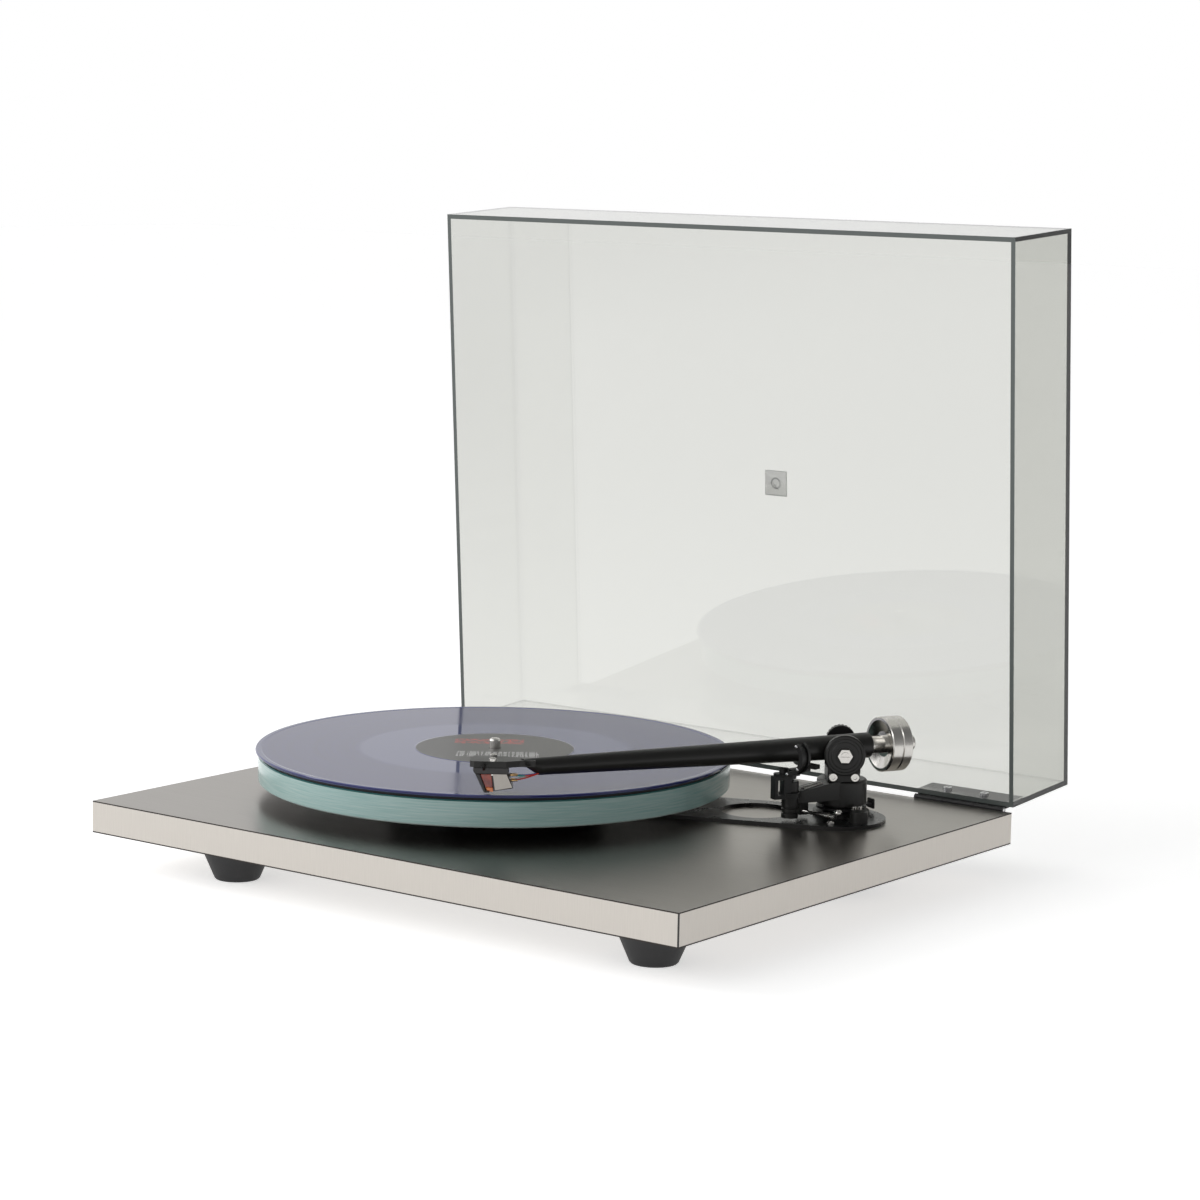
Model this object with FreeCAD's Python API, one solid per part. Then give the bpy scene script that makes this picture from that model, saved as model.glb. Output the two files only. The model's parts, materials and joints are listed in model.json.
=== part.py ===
import FreeCAD, Part
import math
import os

# A belt-drive turntable with a glass platter, a one-piece tonearm and a clear hinged lid.
# Everything is designed in the plinth frame: the origin is the centre of the plinth's top
# face, +X to the right, +Y to the rear, +Z up, millimetres. The last step moves the whole
# model so that its origin is the bottom centre of its bounding box.
# Rest state: lid open on its stop, stylus just over the lead-in groove, lift lowered.

V = FreeCAD.Vector
X_AXIS = V(1, 0, 0)
Y_AXIS = V(0, 1, 0)
Z_AXIS = V(0, 0, 1)

# ---- plinth -------------------------------------------------------------------------
PLINTH_W = 448.0
PLINTH_D = 357.3
PLINTH_T = 20.0
SKIN_T = 0.8
BAND_T = 1.0
BRACE_T = 2.2
BRACE_HALF_W = 32.0
BRACE_END = V(152.0, 85.1, 0)
BRACE_HOLE_R = 22.8
BRACE_HOLE_AT = 171.0            # from the platter's axis, along the brace
FOOT_H = 23.0
FOOT_TOP_R = 23.4
FOOT_BOTTOM_R = 13.3
FEET = {"foot_front_right": (178.0, -137.0), "foot_front_left": (-139.5, -138.0), "foot_rear": (-38.0, 145.0)}

# ---- platter and drive --------------------------------------------------------------
SPINDLE = V(-52.3, 5.5, 0)
SPINDLE_R = 3.575
SPINDLE_RELIEF = 0.2             # the shaft is thinner below the record's top
SPINDLE_TOP = 36.3
SHAFT_R = 5.5
SHAFT_FIT = 0.05
HOUSING_R = 11.0
SUB_R = 67.5
SUB_BOTTOM = 4.4
RIM_BOTTOM = 9.65
GLASS_BOTTOM = 13.65
GLASS_TOP = 26.0
GLASS_R = 149.0
RIM_INNER_R = 120.0
GLASS_CHAMFER = 0.8
MAT_T = 2.0
MAT_R = 147.5
RECORD_R = 150.8
RECORD_T = 1.8
LABEL_R = 50.0
LABEL_T = 0.2
PULLEY_R = 9.0
PULLEY_BOTTOM = 3.6
PULLEY_TOP = 12.6
BELT_R = 0.75
GROOVE_R = 1.0
BELT_HEIGHTS = (6.6, 10.2)
MOTOR_DISTANCE = 92.0
MOTOR_DIRECTION = 145.0          # degrees, from the platter's axis
MOTOR_R = 21.0
MOTOR_TOP = -5.0
MOTOR_BOTTOM = -28.0
WELL_R = 22.0

# ---- lid and hinges -----------------------------------------------------------------
LID_W = 446.5
LID_D = 356.7
LID_H = 69.2
LID_T = 3.0
LID_GAP = 1.0                    # from the plinth's top to the closed lid's rim
LID_OPEN = 86.27                 # degrees from closed to the stop
HINGE_Y = 181.0
HINGE_Z = 0.2
HINGE_X = 184.5
HINGE_HALF_W = 32.5
KNUCKLE_R = 2.0
KNUCKLE_HALF_W = 11.2
PIN_R = 1.0
LEAF_T = 2.0
LEAF_DEPTH = 20.0
SCREW_SPACING = 27.0

# ---- tonearm ------------------------------------------------------------------------
PIVOT = V(150.66, 95.47, 0)      # 222 mm from the platter's axis
TUBE_DIRECTION = -116.6          # degrees; the tube's heading with the stylus at lead-in
PARK_DIRECTION = -94.0           # degrees; the tube's heading in the arm clip
HEADSHELL_ANGLE = 26.3           # the headshell's and the bearings' turn from the tube
TUBE_AXIS_Z = 44.2               # at the pivot
TUBE_RISE = 0.55                 # degrees, up towards the headshell
TUBE_REAR = -17.5
TUBE_FRONT = 208.0
TUBE_REAR_R = 7.95
TUBE_FRONT_R = 5.25
TUBE_WALL = 1.0
BEND_AT = 213.3
BEARING_Z = 42.0
YOKE_BOTTOM = 25.1
YOKE_DECK = 31.5                 # top of the yoke's floor, between the cheeks
YOKE_SCREW_Z = 28.0
YOKE_SCREW_X = 6.7
CHEEK_INNER = 12.4
CHEEK_OUTER = 15.4
CHEEK_BOSS_R = 6.5
CAP_R = 12.6
DIAL_R = 9.2
DIAL_Z = 45.2
RACE_R = 3.2
PIVOT_PIN_R = 1.5
POST_R = 4.0
PLATE_BOTTOM = 46.9
PLATE_TOP = 50.6
STYLUS_H = 26.1                  # from the bend, along the headshell
STYLUS_GAP = 0.15
STUB_R = 5.5
WEIGHT_R = 17.2
WEIGHT_FACES = (-26.3, -33.8, -40.7)
DRUM_R = 15.5
DRUM_BOTTOM = 9.5
DRUM_TOP = 24.8
FLANGE_R = 17.5
FLANGE_T = 2.5
NECK_R = 11.0
LIFT_AT = (40.6, 6.9)            # in the tube's frame
LIFT_R = 5.2
PLATFORM_TOP = 36.6
PLATFORM_RADII = (25.5, 30.5)
CLIP_RADII = (8.9, 11.5)
CLIP_SPAN = (47.5, 56.0)
CLIP_Z = 44.65
LEVER_AT = (28.3, 3.2, 6.3)      # inner end of the lift lever's shaft, in the tube's frame
LEVER_SHAFT_R = 1.2
LEVER_DIRECTION = 111.5          # degrees from the tube
STOP_AT = (4.5, 29.0)            # round stop on the brace, in the tube's frame
STOP_R = 5.6
STOP_TOP = 9.4
BASE_SCREWS = ((2.8, 20.0), (-0.8, 20.3))
STUD_AT = (22.0, 25.0)
GUIDE_RODS = (((19.0, 5.5, 24.1), (33.0, 6.5, 21.8)), ((19.0, 8.6, 24.1), (33.0, 10.6, 21.8)))
PAD_TOP = 33.1                   # of the pad that the arm clip stands on


# ---- helpers ------------------------------------------------------------------------
def block(x, y, z):
    """A box from three (low, high) pairs."""
    return Part.makeBox(x[1] - x[0], y[1] - y[0], z[1] - z[0], V(x[0], y[0], z[0]))


def cylinder(at, z, radius):
    """A vertical cylinder at a point, between two heights."""
    return Part.makeCylinder(radius, z[1] - z[0], V(at[0], at[1], z[0]))


def ring(at, z, outer, inner):
    """A vertical tube at a point."""
    return cylinder(at, z, outer).cut(cylinder(at, (z[0] - 1, z[1] + 1), inner))


def turned(profile, at):
    """A solid of revolution about a vertical axis, from (radius, height) points."""
    points = [V(radius, 0, height) for radius, height in profile]
    face = Part.Face(Part.makePolygon(points + points[:1]))
    solid = face.revolve(V(0, 0, 0), Z_AXIS, 360)
    solid.translate(V(at[0], at[1], 0))
    return solid


def prism_y(outline, y):
    """An (x, z) outline pushed between two y values."""
    points = [V(px, y[0], pz) for px, pz in outline]
    return Part.Face(Part.makePolygon(points + points[:1])).extrude(V(0, y[1] - y[0], 0))


def capsule(start, end, radius, z):
    """A round-ended bar between two points, seen from above."""
    along = V(end[0] - start[0], end[1] - start[1], 0)
    side = V(-along.y, along.x, 0).normalize() * radius
    a = V(start[0], start[1], z[0])
    b = V(end[0], end[1], z[0])
    tip = V(along).normalize() * radius
    edges = [
        Part.LineSegment(a - side, b - side).toShape(),
        Part.Arc(b - side, b + tip, b + side).toShape(),
        Part.LineSegment(b + side, a + side).toShape(),
        Part.Arc(a + side, a - tip, a - side).toShape(),
    ]
    return Part.Face(Part.Wire(edges)).extrude(V(0, 0, z[1] - z[0]))


def rod(start, end, radius):
    """A round rod between two points."""
    direction = V(*end) - V(*start)
    return Part.makeCylinder(radius, direction.Length, V(*start), direction)


def fused(first, *others):
    """One solid from several that meet, with the seams removed."""
    return first.multiFuse(list(others)).removeSplitter()


def turned_about(shape, direction):
    """Turn a shape from its own frame to a heading, and stand it at the tonearm's pivot."""
    moved = shape.copy()
    moved.rotate(V(0, 0, 0), Z_AXIS, direction)
    moved.translate(PIVOT)
    return moved


def in_tube_frame(shape):
    """Local X runs along the tube towards the headshell, local Y outwards."""
    return turned_about(shape, TUBE_DIRECTION)


def in_bearing_frame(shape):
    """Local X runs along the cartridge's heading, local Y along the tilt bearing's axis."""
    return turned_about(shape, TUBE_DIRECTION - HEADSHELL_ANGLE)


def in_park_frame(shape):
    """Local X runs along the tube when it sits in the arm clip."""
    return turned_about(shape, PARK_DIRECTION)


def on_tube_axis(shape):
    """A shape built round the X axis is laid on the tube's own, slightly rising axis."""
    moved = shape.copy()
    moved.rotate(V(0, 0, 0), Y_AXIS, -TUBE_RISE)
    moved.translate(V(0, 0, TUBE_AXIS_Z))
    return in_tube_frame(moved)


def in_headshell_frame(shape):
    """Local X runs along the headshell from its bend, local Y across it."""
    moved = shape.copy()
    moved.rotate(V(0, 0, 0), Z_AXIS, -HEADSHELL_ANGLE)
    moved.translate(V(BEND_AT, 0, 0))
    return in_tube_frame(moved)


def along_bearing(s, radius, z=BEARING_Z, x=0.0):
    """A cylinder along the tilt bearing's axis direction, in the bearing frame."""
    return Part.makeCylinder(radius, s[1] - s[0], V(x, s[0], z), Y_AXIS)


def polar(centre, radius, degrees):
    """A point at a heading and distance from a centre."""
    angle = math.radians(degrees)
    return V(centre[0] + radius * math.cos(angle), centre[1] + radius * math.sin(angle), 0)


MOTOR = polar(SPINDLE, MOTOR_DISTANCE, MOTOR_DIRECTION)
BRACE_DIRECTION = (BRACE_END - SPINDLE).normalize()
BRACE_HOLE = SPINDLE + BRACE_DIRECTION * BRACE_HOLE_AT
RECORD_BOTTOM = GLASS_TOP + MAT_T
RECORD_TOP = RECORD_BOTTOM + RECORD_T
GROOVE_Z = RECORD_TOP - 0.15


# ---- plinth -------------------------------------------------------------------------
def through_holes(z):
    """Holes for the bearing, the arm's stem and the motor's shaft, between two heights."""
    return [cylinder(SPINDLE, z, HOUSING_R), cylinder(PIVOT, z, 8.0), cylinder(MOTOR, z, 12.0)]


def foot_screw_holes(z):
    return [cylinder(at, z, 2.0) for at in FEET.values()]


def plinth_core():
    """Light board core, with the well that the motor hangs in."""
    half_w = PLINTH_W / 2 - BAND_T
    half_d = PLINTH_D / 2 - BAND_T
    z = (SKIN_T - PLINTH_T, -SKIN_T)
    core = block((-half_w, half_w), (-half_d, half_d), z)
    well = cylinder(MOTOR, (z[0] - 1, MOTOR_TOP + 1), WELL_R)
    return core.cut(through_holes((z[0] - 1, 0)) + [well] + foot_screw_holes((z[0] - 1, -8)))


def top_skin():
    skin = block((-PLINTH_W / 2, PLINTH_W / 2), (-PLINTH_D / 2, PLINTH_D / 2), (-SKIN_T, 0))
    return skin.cut(through_holes((-SKIN_T - 1, 1)))


def bottom_skin():
    z = (-PLINTH_T, SKIN_T - PLINTH_T)
    skin = block((-PLINTH_W / 2, PLINTH_W / 2), (-PLINTH_D / 2, PLINTH_D / 2), z)
    cuts = through_holes((z[0] - 1, z[1] + 1)) + foot_screw_holes((z[0] - 1, z[1] + 1))
    return skin.cut(cuts + [cylinder(MOTOR, (z[0] - 1, z[1] + 1), WELL_R)])


def edge_bands():
    """Metal-faced strips round the core; front and rear cover the side strips' ends."""
    x, y = PLINTH_W / 2, PLINTH_D / 2
    z = (SKIN_T - PLINTH_T, -SKIN_T)
    return {
        "edge_band_front": block((-x, x), (-y, BAND_T - y), z),
        "edge_band_rear": block((-x, x), (y - BAND_T, y), z),
        "edge_band_left": block((-x, BAND_T - x), (BAND_T - y, y - BAND_T), z),
        "edge_band_right": block((x - BAND_T, x), (BAND_T - y, y - BAND_T), z),
    }


def upper_brace():
    """Stiff bar from the platter bearing to the arm, with one large round hole."""
    bar = capsule(SPINDLE, BRACE_END, BRACE_HALF_W, (0, BRACE_T))
    holes = [cylinder(BRACE_HOLE, (-1, BRACE_T + 1), BRACE_HOLE_R)]
    return bar.cut(holes + through_holes((-1, BRACE_T + 1))[:2])


def lower_brace():
    z = (-PLINTH_T - BRACE_T, -PLINTH_T)
    bar = capsule(SPINDLE, BRACE_END, BRACE_HALF_W, z)
    return bar.cut(through_holes((z[0] - 1, z[1] + 1))[:2])


def foot(at):
    """Rubber cone with a recess below for its screw's head."""
    top, bottom = -PLINTH_T, -PLINTH_T - FOOT_H
    profile = [
        (2.0, top), (FOOT_TOP_R, top), (FOOT_TOP_R, top - 0.6), (FOOT_BOTTOM_R + 0.8, bottom + 0.8),
        (FOOT_BOTTOM_R, bottom), (5.0, bottom), (5.0, bottom + 10), (2.0, bottom + 10),
    ]
    return turned(profile, at)


def foot_screws():
    """Pan-head screws up through the feet into the core."""
    head_bottom = -PLINTH_T - FOOT_H + 7
    profile = [(0, head_bottom), (3.6, head_bottom), (4.0, head_bottom + 1), (4.0, head_bottom + 3),
               (2.0, head_bottom + 3), (2.0, -8), (0, -8)]
    return Part.makeCompound([turned(profile, at) for at in FEET.values()])


def power_inlet():
    """Round low-voltage socket in a small box under the plinth's rear edge."""
    x, y, z = (-120.0, -104.0), (150.0, 168.0), (-32.0, -PLINTH_T)
    mouth = V((x[0] + x[1]) / 2, y[1], -26.5)
    return block(x, y, z).cut(Part.makeCylinder(2.75, 9.5, mouth, V(0, -1, 0)))


def lead_gland():
    """Grommet block under the rear edge that the signal lead leaves through."""
    x, y, z = (150.0, 166.0), (152.0, 172.0), (-31.0, -PLINTH_T)
    box = block(x, y, z)
    return box.cut(Part.makeCylinder(2.6, 22.0, V(158, y[0] - 1, -25.5), Y_AXIS))


# ---- platter and drive --------------------------------------------------------------
def bearing_housing():
    """Brass well with a flange on the upper brace; the ball lies in its bottom."""
    profile = [
        (0, -25), (HOUSING_R, -25), (HOUSING_R, BRACE_T), (18.0, BRACE_T), (18.0, BRACE_T + 1),
        (SHAFT_R + SHAFT_FIT, BRACE_T + 1), (SHAFT_R + SHAFT_FIT, -22), (0, -22),
    ]
    return turned(profile, SPINDLE)


def thrust_ball():
    return Part.makeSphere(2.5, V(SPINDLE.x, SPINDLE.y, -19.5))


def spindle():
    """Steel shaft that carries the sub-platter and ends in the record pin."""
    neck = SPINDLE_R - SPINDLE_RELIEF
    profile = [
        (0, -16.9), (SHAFT_R - 0.6, -16.9), (SHAFT_R, -16.3), (SHAFT_R, GLASS_BOTTOM),
        (neck, GLASS_BOTTOM), (neck, RECORD_TOP), (SPINDLE_R, RECORD_TOP), (SPINDLE_R, SPINDLE_TOP - 1.6),
        (SPINDLE_R - 0.5, SPINDLE_TOP - 0.6),
        (SPINDLE_R - 1.6, SPINDLE_TOP), (0, SPINDLE_TOP),
    ]
    return turned(profile, SPINDLE)


def belt_groove(at, radius, height):
    return Part.makeTorus(radius, GROOVE_R, V(at.x, at.y, height))


def sub_platter():
    """Driven wheel under the glass, with two belt grooves in its rim."""
    wheel = ring(SPINDLE, (SUB_BOTTOM, GLASS_BOTTOM), SUB_R, SHAFT_R)
    return wheel.cut([belt_groove(SPINDLE, SUB_R, z) for z in BELT_HEIGHTS])


def motor_pulley():
    """Two-groove pulley on the motor's shaft."""
    profile = [
        (0, -15), (1.5, -15), (1.5, PULLEY_BOTTOM), (PULLEY_R, PULLEY_BOTTOM),
        (PULLEY_R, PULLEY_TOP - 0.5), (PULLEY_R - 0.5, PULLEY_TOP), (0, PULLEY_TOP),
    ]
    pulley = turned(profile, MOTOR)
    return pulley.cut([belt_groove(MOTOR, PULLEY_R, z) for z in BELT_HEIGHTS])


def motor_body():
    """Motor can with the bore that the shaft runs in."""
    profile = [
        (1.55, MOTOR_BOTTOM + 5), (0, MOTOR_BOTTOM + 5), (0, MOTOR_BOTTOM), (MOTOR_R - 1, MOTOR_BOTTOM),
        (MOTOR_R, MOTOR_BOTTOM + 1), (MOTOR_R, MOTOR_TOP), (7.0, MOTOR_TOP), (7.0, MOTOR_TOP + 2.5),
        (1.55, MOTOR_TOP + 2.5),
    ]
    return turned(profile, MOTOR)


def motor_cover():
    """Shallow cup under the plinth that closes the motor's well."""
    bottom = MOTOR_BOTTOM - 3
    profile = [
        (0, bottom), (24.5, bottom), (26.5, bottom + 2), (26.5, -PLINTH_T - 2), (32.0, -PLINTH_T - 2),
        (32.0, -PLINTH_T), (23.5, -PLINTH_T), (23.5, MOTOR_BOTTOM - 0.5), (0, MOTOR_BOTTOM - 0.5),
    ]
    return turned(profile, MOTOR)


def belt(height):
    """Round belt: two tangent runs and the two arcs that they join."""
    lean = math.degrees(math.acos((SUB_R - PULLEY_R) / MOTOR_DISTANCE))
    spots = ((SPINDLE, SUB_R, lean, 360 - 2 * lean), (MOTOR, PULLEY_R, -lean, 2 * lean))
    pieces = []
    for centre, radius, start, sweep in spots:
        section = Part.Face(Part.Wire(Part.Circle(V(radius, 0, height), Y_AXIS, BELT_R).toShape()))
        arc = section.revolve(V(0, 0, 0), Z_AXIS, sweep)
        arc.rotate(V(0, 0, 0), Z_AXIS, MOTOR_DIRECTION + start)
        arc.translate(V(centre.x, centre.y, 0))
        pieces.append(arc)
    for side in (-lean, lean):
        start = polar(SPINDLE, SUB_R, MOTOR_DIRECTION + side) + V(0, 0, height)
        end = polar(MOTOR, PULLEY_R, MOTOR_DIRECTION + side) + V(0, 0, height)
        pieces.append(rod(start, end, BELT_R))
    return fused(*pieces)


def belts():
    return Part.makeCompound([belt(height) for height in BELT_HEIGHTS])


def glass_platter():
    c = GLASS_CHAMFER
    profile = [
        (SPINDLE_R + 0.2, GLASS_BOTTOM), (GLASS_R, GLASS_BOTTOM), (GLASS_R, GLASS_TOP - c),
        (GLASS_R - c, GLASS_TOP), (SPINDLE_R + 0.2, GLASS_TOP),
    ]
    return turned(profile, SPINDLE)


def glass_rim():
    """Glass ring bonded under the disc to weight its edge."""
    c = GLASS_CHAMFER
    profile = [
        (RIM_INNER_R, RIM_BOTTOM), (GLASS_R - c, RIM_BOTTOM), (GLASS_R, RIM_BOTTOM + c),
        (GLASS_R, GLASS_BOTTOM), (RIM_INNER_R, GLASS_BOTTOM),
    ]
    return turned(profile, SPINDLE)


def platter_mat():
    return ring(SPINDLE, (GLASS_TOP, RECORD_BOTTOM), MAT_R, SPINDLE_R + 0.2)


def record():
    """Pressed disc: raised edge bead and a thin recess each side for the labels."""
    hole = SPINDLE_R + 0.045
    bead = RECORD_R - 3.0
    profile = [
        (hole, RECORD_BOTTOM + LABEL_T), (LABEL_R, RECORD_BOTTOM + LABEL_T), (LABEL_R, RECORD_BOTTOM),
        (RECORD_R - 0.5, RECORD_BOTTOM), (RECORD_R, RECORD_BOTTOM + 0.5), (RECORD_R, RECORD_TOP - 0.5),
        (RECORD_R - 0.5, RECORD_TOP), (bead, RECORD_TOP), (bead - 1.0, GROOVE_Z), (LABEL_R + 1.0, GROOVE_Z),
        (LABEL_R, RECORD_TOP), (LABEL_R, RECORD_TOP - LABEL_T), (hole, RECORD_TOP - LABEL_T),
    ]
    return turned(profile, SPINDLE)


def record_labels():
    """The two paper labels, set flush in the record's recesses."""
    faces = ((RECORD_BOTTOM, RECORD_BOTTOM + LABEL_T), (RECORD_TOP - LABEL_T, RECORD_TOP))
    return Part.makeCompound([ring(SPINDLE, z, LABEL_R, SPINDLE_R + 0.3) for z in faces])


# ---- lid and hinges, drawn closed and then swung open -------------------------------
LID_REAR = HINGE_Y - 2.4
LID_FRONT = LID_REAR - LID_D
LID_TOP = LID_GAP + LID_H
SCREW_Z = LID_GAP + 7.5


def swung_open(shape):
    opened = shape.copy()
    opened.rotate(V(0, HINGE_Y, HINGE_Z), X_AXIS, -LID_OPEN)
    return opened


def lid_screw_spots():
    return [side * HINGE_X + step * SCREW_SPACING / 2 for side in (-1, 1) for step in (-1, 1)]


def lid_shell():
    """Five-sided clear box, open below."""
    half_w = LID_W / 2
    outer = block((-half_w, half_w), (LID_FRONT, LID_REAR), (LID_GAP, LID_TOP))
    inner = block((LID_T - half_w, half_w - LID_T), (LID_FRONT + LID_T, LID_REAR - LID_T),
                  (LID_GAP - 1, LID_TOP - LID_T))
    holes = [Part.makeCylinder(1.5, 10, V(x, LID_REAR - 6, SCREW_Z), Y_AXIS) for x in lid_screw_spots()]
    return swung_open(outer.cut([inner] + holes))


def lid_boss():
    """Small square pad with a round dimple on the middle of the lid's top."""
    middle = (LID_FRONT + LID_REAR) / 2
    pad = block((-8.5, 8.5), (middle - 8.5, middle + 8.5), (LID_TOP, LID_TOP + 1.5))
    pad = pad.makeChamfer(0.5, [edge for edge in pad.Edges if edge.CenterOfMass.z > LID_TOP + 1.4])
    dimple = Part.makeSphere(9.0, V(0, middle, LID_TOP + 9.4))
    return swung_open(pad.cut(dimple))


def lid_screws():
    """Pan-head screws from inside the lid into the hinge leaves."""
    screws = []
    for x in lid_screw_spots():
        shank = Part.makeCylinder(1.5, LID_T + LEAF_T, V(x, LID_REAR - LID_T, SCREW_Z), Y_AXIS)
        head = Part.makeCylinder(2.7, 1.6, V(x, LID_REAR - LID_T - 1.6, SCREW_Z), Y_AXIS)
        slot_y = (LID_REAR - LID_T - 2, LID_REAR - LID_T - 0.9)
        slot = block((x - 0.4, x + 0.4), slot_y, (SCREW_Z - 3, SCREW_Z + 3))
        screws.append(swung_open(fused(shank, head).cut(slot)))
    return Part.makeCompound(screws)


def hinge_leaf(side):
    """Plate on the outside of the lid's rear wall, with the middle knuckle on the pin."""
    middle = side * HINGE_X
    ends = (middle - HINGE_HALF_W, middle + HINGE_HALF_W)
    y = (LID_REAR, LID_REAR + LEAF_T)
    plate = block(ends, y, (LID_GAP + 2.2, LID_GAP + LEAF_DEPTH))
    neck = block((middle - KNUCKLE_HALF_W, middle + KNUCKLE_HALF_W), y, (LID_GAP, LID_GAP + 3))
    start = V(middle - KNUCKLE_HALF_W, HINGE_Y, HINGE_Z)
    knuckle = Part.makeCylinder(KNUCKLE_R, 2 * KNUCKLE_HALF_W, start, X_AXIS)
    bore = Part.makeCylinder(PIN_R + SHAFT_FIT, 2 * HINGE_HALF_W, V(ends[0], HINGE_Y, HINGE_Z), X_AXIS)
    spots = [middle + step * SCREW_SPACING / 2 for step in (-1, 1)]
    holes = [Part.makeCylinder(1.5, 10, V(x, LID_REAR - 3, SCREW_Z), Y_AXIS) for x in spots]
    return swung_open(fused(plate, neck, knuckle).cut([bore] + holes))


def hinge_bracket(side):
    """Plate on the plinth's rear band with the two outer knuckles."""
    middle = side * HINGE_X
    ends = (middle - HINGE_HALF_W, middle + HINGE_HALF_W)
    face = PLINTH_D / 2
    plate = block(ends, (face, face + 1.5), (-17, -2.6))
    inner = KNUCKLE_HALF_W + 0.3
    pieces = []
    for x in ((ends[0], middle - inner), (middle + inner, ends[1])):
        pieces.append(Part.makeCylinder(KNUCKLE_R, x[1] - x[0], V(x[0], HINGE_Y, HINGE_Z), X_AXIS))
        pieces.append(block(x, (face + 0.6, HINGE_Y + 1.0), (-4.0, HINGE_Z)))
    bore = Part.makeCylinder(PIN_R, 2 * HINGE_HALF_W + 2, V(ends[0] - 1, HINGE_Y, HINGE_Z), X_AXIS)
    return fused(plate, *pieces).cut(bore)


def hinge_pins():
    """One pin for each hinge, held by the bracket's knuckles."""
    length = 2 * HINGE_HALF_W
    starts = [V(side * HINGE_X - HINGE_HALF_W, HINGE_Y, HINGE_Z) for side in (-1, 1)]
    return Part.makeCompound([Part.makeCylinder(PIN_R, length, start, X_AXIS) for start in starts])


# ---- tonearm base and lift, fixed to the plinth -------------------------------------
def bridge():
    """The base's arm that carries the lift, with a falling top, in the tube's frame."""
    arm = capsule((6, 6.6), (33, 6.6), 6.0, (13.6, DRUM_TOP))
    above = [(13, DRUM_TOP), (45, DRUM_TOP - 5.2), (45, DRUM_TOP + 1), (13, DRUM_TOP + 1)]
    return arm.cut(prism_y(above, (-5, 20)))


def arm_base():
    """Stem through the plinth, flange, neck, bearing drum, and the arm that holds the lift."""
    stem = cylinder((0, 0), (-PLINTH_T - BRACE_T - 3, BRACE_T), 8.0)
    flange = cylinder((0, 0), (BRACE_T, BRACE_T + FLANGE_T), FLANGE_R)
    neck = cylinder((0, 0), (BRACE_T, DRUM_BOTTOM + 1), NECK_R)
    drum = cylinder((0, 0), (DRUM_BOTTOM, DRUM_TOP), DRUM_R)
    drum = drum.makeFillet(1.5, [edge for edge in drum.Edges if edge.CenterOfMass.z > DRUM_TOP - 0.1])
    lug = block((25, 31), (-2, 2.6), (4.0, 15))
    plate = capsule((0, 0), STOP_AT, STOP_R, (BRACE_T, BRACE_T + FLANGE_T))
    stop = cylinder(STOP_AT, (BRACE_T, STOP_TOP), STOP_R)
    stop = stop.makeFillet(0.6, [edge for edge in stop.Edges if edge.CenterOfMass.z > STOP_TOP - 0.1])
    body = fused(stem, flange, neck, drum, bridge(), lug, plate, stop)
    cuts = [cylinder((0, 0), (5, DRUM_TOP + 1), POST_R), cylinder(LIFT_AT, (3, 30), LIFT_R)]
    cuts.append(lever_shaft(LEVER_SHAFT_R + SHAFT_FIT, 5.1))
    return in_tube_frame(body.cut(cuts))


def arm_fixings():
    """Bright small parts of the base: two pillar screws, a locating stud and two guide rods."""
    deck = BRACE_T + FLANGE_T
    pillar = [(0, deck), (1.1, deck), (1.1, deck + 3.6), (1.7, deck + 3.6), (1.7, deck + 5.4),
              (1.2, deck + 5.9), (0, deck + 5.9)]
    stud = [(0, BRACE_T), (2.2, BRACE_T), (2.2, 2.9), (1.6, 3.6), (1.0, 4.0), (0, 4.0)]
    pieces = [turned(pillar, at) for at in BASE_SCREWS] + [turned(stud, STUD_AT)]
    pieces += [rod(start, end, 0.6).cut(bridge()) for start, end in GUIDE_RODS]
    return Part.makeCompound([in_tube_frame(piece) for piece in pieces])


def pivot_post():
    """Upright steel pin that the yoke turns on."""
    top = YOKE_DECK - 1.5
    profile = [(0, 5), (POST_R, 5), (POST_R, top - 0.5), (POST_R - 0.5, top), (0, top)]
    return turned(profile, PIVOT)


def bias_ring():
    """Side-force adjuster: a ring round the base's neck with a thumb tab behind."""
    z = (6.3, 7.7)
    collar = ring((0, 0), z, DRUM_R, NECK_R + 0.3)
    arm = block((-21.5, -DRUM_R + 1), (-3, 3), z)
    tab = block((-22.0, -20.8), (-3.5, 3.5), (4.2, 10.3))
    tab = tab.makeFillet(1.2, [edge for edge in tab.Edges if abs(edge.CenterOfMass.z - 10.3) < 0.01
                               and abs(edge.CenterOfMass.y) > 3.4])
    return in_tube_frame(fused(collar, arm, tab))


def lift_cylinder():
    """Damper body of the lift, ribbed below, open at the top for the piston."""
    outline = [(0, 4.2), (LIFT_R, 4.2)]
    for rib in (7.0, 10.0):
        outline += [(LIFT_R, rib), (LIFT_R - 0.6, rib + 0.3), (LIFT_R - 0.6, rib + 0.9), (LIFT_R, rib + 1.2)]
    outline += [(LIFT_R, 26.5), (LIFT_R - 0.5, 27), (2.05, 27), (2.05, 12), (0, 12)]
    return in_tube_frame(turned(outline, LIFT_AT))


def lift_frame():
    """Open rectangular frame beside the cylinder, with an oval pad and a knob on top."""
    low, high = 17.2, PAD_TOP - 1.8
    window = block((48.6, 52.8), (7, 14.5), (low + 2.4, high - 2.3))
    frame = block((43.5, 55), (8, 13.5), (low, high)).cut(window)
    collar = capsule(LIFT_AT, (42.5, 9), 6.6, (low, low + 3.3))
    collar = collar.cut(block((48.6, 60), (-5, 20), (low, low + 4)))
    pad = capsule((50.5, 11.5), (48.0, 18.5), 4.2, (high, PAD_TOP))
    knob = cylinder((49.0, 13.2), (PAD_TOP, PAD_TOP + 3.4), 2.9)
    body = fused(frame, collar, pad, knob)
    return in_tube_frame(body.cut([cylinder(LIFT_AT, (10, 30), LIFT_R), bridge()]))


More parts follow.
